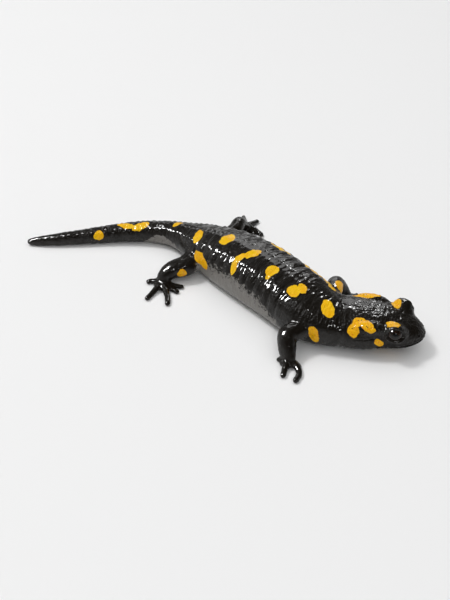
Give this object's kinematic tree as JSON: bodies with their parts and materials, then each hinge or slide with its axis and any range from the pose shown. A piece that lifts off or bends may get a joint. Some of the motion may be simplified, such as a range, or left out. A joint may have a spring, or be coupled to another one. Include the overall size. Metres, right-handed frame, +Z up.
{
  "type": "fire salamander",
  "caption": "Life-size still model of a fire salamander lying on its belly, head turned aside, tail swept, legs spread; glossy black skin with yellow blotches.",
  "frame": {"origin": "on the floor, under the middle of the animal's box", "axes": "+X forward along the trunk, +Y to the animal's left, +Z up"},
  "size_m": [0.156, 0.079, 0.0197],
  "materials": {
    "skin": "wet, glossy black skin with golden yellow blotches",
    "eye": "dark, wet and mirror smooth"
  },
  "bodies": {
    "root": {"head": "skin", "neck": "skin", "torso": "skin", "tail_base": "skin", "tail_tip": "skin", "foreleg_left": "skin", "foreleg_right": "skin", "hindleg_left": "skin", "hindleg_right": "skin", "eye_left": "eye", "eye_right": "eye"}
  },
  "joints": []
}
